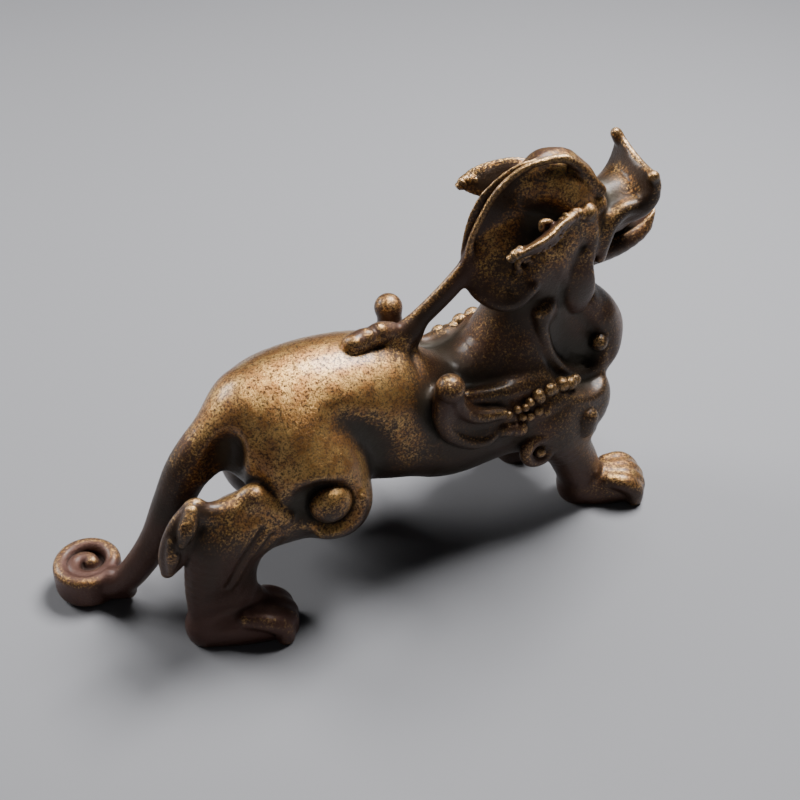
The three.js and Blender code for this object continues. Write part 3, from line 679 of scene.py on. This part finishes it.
class Finish:
    """A material that is built up node by node."""

    def __init__(self, name):
        self.material = bpy.data.materials.new(name)
        self.material.use_nodes = True
        self.tree = self.material.node_tree
        self.shader = self.tree.nodes["Principled BSDF"]

    def node(self, kind, settings, sockets, output=0):
        """One output of a new node."""
        return Value(self, add_node(self.tree, kind, settings, sockets)[output])

    def maths(self, operation, a, b):
        return self.node("ShaderNodeMath", {"operation": operation}, {0: a, 1: b})

    def mix(self, share, a, b):
        """The colour a, or b where share is 1."""
        return self.node("ShaderNodeMix", {"data_type": "RGBA"}, {0: share, 6: a, 7: b}, 2)

    def attribute(self, name):
        """What is written at a piece's corners under a name."""
        return self.node("ShaderNodeAttribute", {"attribute_name": name}, {}, "Fac")

    def noise(self, place, scale, detail, roughness):
        sockets = {"Vector": place, "Scale": scale, "Detail": detail, "Roughness": roughness}
        return self.node("ShaderNodeTexNoise", {}, sockets, "Fac")

    def set(self, sockets):
        """Plugs the shader's own sockets."""
        for name, value in sockets.items():
            plug(self.tree, value, self.shader.inputs[name])


# Casting: the wax's surface as a mesh

MOST_TRIANGLES = 195000
SHARPEST_ANGLE = math.radians(55)
# How far around each place the wax is looked at, in millimetres, for the names that the patina reads.
REACHES = {"crevice": 0.5, "hollow": 1.8, "sheltered": 5.0}
# Hollowness goes down to this on an edge, times one more than the reach.
SHARPEST_EDGE = -0.12


def placed(name, data):
    """A mesh, curve, lamp or lens as an object in the scene."""
    made = bpy.data.objects.new(name, data)
    bpy.context.scene.collection.objects.link(made)
    return made


def finished_mesh(piece):
    """What a piece's modifiers make of it, as a plain mesh. The modifiers go."""
    mesh = bpy.data.meshes.new_from_object(piece.evaluated_get(bpy.context.evaluated_depsgraph_get()))
    piece.modifiers.clear()
    return mesh


def cast(name, wax):
    """The wax's surface as a piece, thinned where it has too many triangles."""
    corners, faces = wax.surface()
    mesh = bpy.data.meshes.new(name)
    mesh.from_pydata(((corners - MIDDLE) * MILLIMETRE).tolist(), [], faces)
    piece = placed(name, mesh)
    triangles = sum(len(face) - 2 for face in faces)
    if triangles > MOST_TRIANGLES:
        thinner = piece.modifiers.new("thinner", "DECIMATE")
        thinner.ratio = MOST_TRIANGLES / triangles
        thinner.use_collapse_triangulate = True
        piece.data = finished_mesh(piece)
        bpy.data.meshes.remove(mesh)
        piece.data.name = name
    piece.data.polygons.foreach_set("use_smooth", [True] * len(piece.data.polygons))
    piece.data.set_sharp_from_angle(angle=SHARPEST_ANGLE)
    return piece


def read(piece, name):
    """The vector called name at each corner of a piece."""
    values = np.empty(len(piece.data.vertices) * 3, np.float32)
    piece.data.vertices.foreach_get(name, values)
    return values.reshape(-1, 3)


def write(piece, name, values):
    """A number at each corner of a piece, for its finish to read."""
    written = piece.data.attributes.new(name, "FLOAT", "POINT")
    written.data.foreach_set("value", values.astype(np.float32))


def mark(pieces, wax):
    """Writes how hollow each corner is at each reach, and how far it faces up.

    A corner in a hollow is above 0 and one on an edge below 0.
    """
    for name, reach in REACHES.items():
        grid = wax.hollowness(reach)
        for piece in pieces:
            hollow = 2 * wax.value(grid, read(piece, "co") / MILLIMETRE + MIDDLE) - 1
            write(piece, name, np.maximum(hollow, SHARPEST_EDGE * (1 + reach)))
    for piece in pieces:
        write(piece, "upward", read(piece, "normal")[:, 2])


def bead_nodes():
    """Geometry Nodes that string flattened beads along curves, as big as the curve's radius is there."""
    tree = bpy.data.node_groups.new("bead strings", "GeometryNodeTree")
    for name, kind in (("Curves", "Geometry"), ("Spacing", "Float"), ("Flatness", "Float"),
                       ("Unevenness", "Float"), ("Finish", "Material")):
        tree.interface.new_socket(name, in_out="INPUT", socket_type="NodeSocket" + kind)
    tree.interface.new_socket("Beads", in_out="OUTPUT", socket_type="NodeSocketGeometry")
    given = tree.nodes.new("NodeGroupInput").outputs
    node = partial(add_node, tree)
    points = node("GeometryNodeCurveToPoints", {"mode": "LENGTH"},
                  {"Curve": given["Curves"], "Length": given["Spacing"]})
    radius = node("GeometryNodeInputRadius", {}, {})[0]
    unevenness = node("ShaderNodeMath", {"operation": "MULTIPLY"}, {0: radius, 1: given["Unevenness"]})[0]
    aside = node("FunctionNodeRandomValue", {"data_type": "FLOAT_VECTOR"},
                 {"Min": (-1, -1, -1), "Max": (1, 1, 1), "Seed": 4})["Value"]
    shift = node("ShaderNodeVectorMath", {"operation": "SCALE"}, {"Vector": aside, "Scale": unevenness})[0]
    shifted = node("GeometryNodeSetPosition", {}, {"Geometry": points["Points"], "Offset": shift})[0]
    sphere = node("GeometryNodeMeshIcoSphere", {}, {"Radius": 1.0, "Subdivisions": 4})[0]
    shape = node("ShaderNodeCombineXYZ", {}, {"X": 1.0, "Y": 1.0, "Z": given["Flatness"]})[0]
    size = node("ShaderNodeVectorMath", {"operation": "SCALE"}, {"Vector": shape, "Scale": radius})[0]
    beads = node("GeometryNodeInstanceOnPoints", {},
                 {"Points": shifted, "Instance": sphere, "Rotation": points["Rotation"], "Scale": size})[0]
    real = node("GeometryNodeRealizeInstances", {}, {"Geometry": beads})[0]
    smooth = node("GeometryNodeSetShadeSmooth", {}, {"Geometry": real})[0]
    finished = node("GeometryNodeSetMaterial", {}, {"Geometry": smooth, "Material": given["Finish"]})[0]
    node("NodeGroupOutput", {}, {"Beads": finished})
    return tree


def string_beads(name, tree, paths, finish, spacing, flatness, unevenness):
    """Beads along paths of x, y, z, radius. They are flatness times as long along the path as across it."""
    curve = bpy.data.curves.new(name, "CURVE")
    curve.dimensions = "3D"
    for path in paths:
        rows = smooth_path(path, FINEST_STEP)
        spline = curve.splines.new("POLY")
        spline.points.add(len(rows) - 1)
        for point, row in zip(spline.points, rows):
            point.co = (*((row[:3] - MIDDLE) * MILLIMETRE), 1)
            point.radius = row[3] * MILLIMETRE
    source = placed(name + " curve", curve)
    strung = source.modifiers.new("strung", "NODES")
    strung.node_group = tree
    inputs = {"Spacing": spacing * MILLIMETRE, "Flatness": flatness, "Unevenness": unevenness,
              "Finish": finish}
    for item in tree.interface.items_tree:
        if item.name in inputs:
            strung[item.identifier] = inputs[item.name]
    mesh = finished_mesh(source)
    bpy.data.objects.remove(source)
    mesh.name = name
    return placed(name, mesh)


def cast_figure(finish):
    """The casting, the beads on its shoulders and back, and the ropes on the edges of its ears."""
    wax = Wax(BLOCK_LOW, BLOCK_HIGH, CELL)
    model(wax)
    figure = cast("figure", wax)
    figure.data.materials.append(finish)
    tree = bead_nodes()
    strings = [on_side(side, rows) for side in (RIGHT, LEFT) for rows in NEAR_BEADS] + [FAR_BEADS]
    beads = string_beads("shoulder_beads", tree, strings, finish, spacing=1.15, flatness=1.0,
                         unevenness=0.35)
    edges = [roped_edge(side) for side in (RIGHT, LEFT)]
    ropes = string_beads("ear_ropes", tree, edges, finish, spacing=0.8, flatness=0.62, unevenness=0.15)
    pieces = [figure, beads, ropes]
    mark(pieces, wax)
    return pieces


# Finishes

DARK_PATINA = (0.040, 0.024, 0.015, 1)
RED_PATINA = (0.066, 0.030, 0.019, 1)
OLIVE_PATINA = (0.052, 0.045, 0.031, 1)
FOOT_PATINA = (0.110, 0.052, 0.040, 1)
# Lighter patina where rubbed, also laid on upper sides as painted light from above
RUBBED_AND_LIT_PATINA = (0.14, 0.072, 0.032, 1)
PALE_GOLD = (0.64, 0.37, 0.12, 1)
DEEP_GOLD = (0.42, 0.20, 0.06, 1)
# Brass on worn edges, which also stands in for highlights on them
BRASS_WEAR_AND_GLINT = (0.70, 0.43, 0.18, 1)
PIT_BLACK = (0.020, 0.011, 0.006, 1)
HOLLOW_BLACK = (0.009, 0.006, 0.004, 1)
FLOOR_GREY = (0.22, 0.22, 0.232, 1)


def old_bronze():
    """Dark brown bronze, with golden speckles where hands rub it and, as painted light from above, where it
    faces up, brass edges that are partly painted highlights, and black hollows.
    """
    bronze = Finish("old_bronze")
    place = bronze.node("ShaderNodeTexCoord", {}, {}, "Object")
    along, height = (bronze.node("ShaderNodeSeparateXYZ", {}, {"Vector": place},
                                 axis) for axis in ("X", "Z"))
    crevice, hollow, sheltered, upward = (bronze.attribute(name) for name in (*REACHES, "upward"))
    grain = bronze.noise(place, 3000, 4.0, 0.8)
    pits = bronze.noise(place, 2900, 3.0, 0.75)
    blotch = bronze.noise(place, 420, 3.0, 0.65)
    cloud = bronze.noise(place, 90, 2.0, 0.5)
    patchy = (cloud - 0.5) * 0.5 + (blotch - 0.5) * 0.5

    # Places, in metres: the back and haunch down to the knee, the upper head, the feet, the front toes
    haunch = (1 - along.between(-0.001,
                                0.010) * 0.75) * (along + height * 1.2 + patchy * 0.01).between(-0.011,
                                                                                                0.011)
    head = height.between(0.036, 0.046) * (0.8 - along.between(0.029, 0.035) * 0.4)
    low = 1 - (height + patchy * 0.01).between(0.003, 0.013)
    foot = low * (1 - along.between(0.0, 0.02) * 0.8)
    toes = low * along.between(0.029, 0.036) * upward.between(-0.1, 0.8) * 0.7

    # Hands rub what is smooth and round, and the knobs. The mask is also stronger where the surface faces
    # up, which is painted light from above.
    rounded = patchy * 0.3 - sheltered
    smooth = (rounded + patchy * 0.2).between(-0.2, 0.12) * (1 - rounded.between(0.15, 0.5) * 0.9)
    wear_and_toplight = smooth * (upward + patchy).between(-0.7, 0.45) * haunch.most(head)
    knobs = (patchy * 0.3 - hollow).between(0.15, 0.45) * (upward + patchy).between(-0.8, 0.8) * 0.75
    wear_and_toplight = wear_and_toplight.most(knobs).most(toes)

    # Metal shows in speckles where it is rubbed and along the edges. On upper sides the speckles are painted
    # light from above, and the brass edges are partly painted highlights. Pits and hollows stay dark.
    speckle = (grain + (wear_and_toplight - 1) * 0.2).between(0.34, 0.52) * wear_and_toplight.between(0, 0.4)
    edge_wear_and_glint = ((grain - 0.5) * 0.6 - crevice).between(0.1, 0.26) * (upward + patchy).between(-1.2, 0.8)
    pitted = pits.between(0.5, 0.6) * wear_and_toplight
    deep = (hollow + crevice * 0.7 + (blotch - 0.5) * 0.16).between(0.14, 0.5)
    olive = (sheltered + (cloud - 0.5) * 0.3).between(-0.05, 0.25)
    bare = speckle.most(edge_wear_and_glint) * (1 - pitted * 0.8)

    patina = bronze.mix(cloud.between(0.4, 0.62), DARK_PATINA, RED_PATINA)
    patina = bronze.mix(olive * 0.8, patina, OLIVE_PATINA)
    patina = bronze.mix(foot * 0.8, patina, FOOT_PATINA)
    # Lighter patina where rubbed, and painted light from above on the upper sides
    patina = bronze.mix(wear_and_toplight * 0.5, patina, RUBBED_AND_LIT_PATINA)
    golden = bronze.mix(blotch.between(0.4, 0.6), PALE_GOLD, DEEP_GOLD)
    colour = bronze.mix(speckle, patina, golden)
    # Brass on edges: edge wear, plus painted highlights on edges that face up
    colour = bronze.mix(edge_wear_and_glint * 0.7, colour, BRASS_WEAR_AND_GLINT)
    colour = bronze.mix(pitted * 0.85, colour, PIT_BLACK)
    colour = bronze.mix(deep * 0.7, colour, HOLLOW_BLACK)

    roughness = 0.4 - bare * 0.06 - edge_wear_and_glint * 0.08 + (deep + pitted * 0.6) * 0.25
    wax_coat = (wear_and_toplight * 0.55 + 0.2) * (1 - deep.most(pitted * 0.7))
    relief = bronze.node("ShaderNodeBump", {}, {"Strength": 0.55, "Distance": 0.0002,
                                                "Height": grain + blotch}, "Normal")
    bronze.set({"Base Color": colour, "Metallic": 0.5 + bare * 0.48, "Roughness": roughness,
                "Normal": relief, "Specular IOR Level": 0.3, "Coat Weight": wax_coat,
                "Coat Roughness": 0.25})
    return bronze.material


def pale_floor():
    """Plain matt grey."""
    floor = Finish("pale_floor")
    floor.set({"Base Color": FLOOR_GREY, "Roughness": 0.8})
    return floor.material


# The studio

FLOOR_SIZE = 3.0
SKY_COLOUR, SKY_STRENGTH = (0.8, 0.85, 0.95, 1), 0.03
# Each lamp's name, place, width in metres and power in watts. All of them face the figure's middle.
LAMPS = (("softbox", (0.12, 0.05, 0.26), 0.13, 2.3), ("window", (-0.20, 0.22, 0.20), 0.14, 1.0),
         ("fill", (-0.25, -0.35, 0.15), 0.3, 0.06))
LIT_PLACE = Vector((0, 0, 0.02))


def studio():
    """A plain pale floor and soft light."""
    bpy.ops.mesh.primitive_plane_add(size=FLOOR_SIZE)
    floor = bpy.context.object
    floor.name = "floor"
    floor.data.materials.append(pale_floor())
    world = bpy.data.worlds.new("studio")
    world.use_nodes = True
    sky = world.node_tree.nodes["Background"].inputs
    sky["Color"].default_value = SKY_COLOUR
    sky["Strength"].default_value = SKY_STRENGTH
    bpy.context.scene.world = world
    for name, place, width, watts in LAMPS:
        lamp = bpy.data.lights.new(name, "AREA")
        lamp.size = width
        lamp.energy = watts
        light = placed(name, lamp)
        light.location = place
        light.rotation_euler = (LIT_PLACE - Vector(place)).to_track_quat("-Z", "Y").to_euler()


def photographer():
    """The camera stands to the right of the tail and looks down past the figure's back."""
    azimuth, elevation, half_view = math.radians(26), math.radians(39), math.radians(16)
    distance = 0.185
    aim = Vector((0.0041, -0.0017, 0.0240))
    back = Vector((-math.sin(azimuth) * math.cos(elevation), -math.cos(azimuth) * math.cos(elevation),
                   math.sin(elevation)))
    right = Vector((math.cos(azimuth), -math.sin(azimuth), 0))
    lens = bpy.data.cameras.new("camera")
    lens.sensor_width = 36
    lens.lens = lens.sensor_width / 2 / math.tan(half_view)
    lens.clip_start = 0.01
    camera = placed("camera", lens)
    turn = Matrix((right, back.cross(right), back)).transposed()
    camera.matrix_world = Matrix.Translation(aim + distance * back) @ turn.to_4x4()
    bpy.context.scene.camera = camera


photographer()
studio()
for piece in cast_figure(old_bronze()):
    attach(piece, "root")
    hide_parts("pixiu")
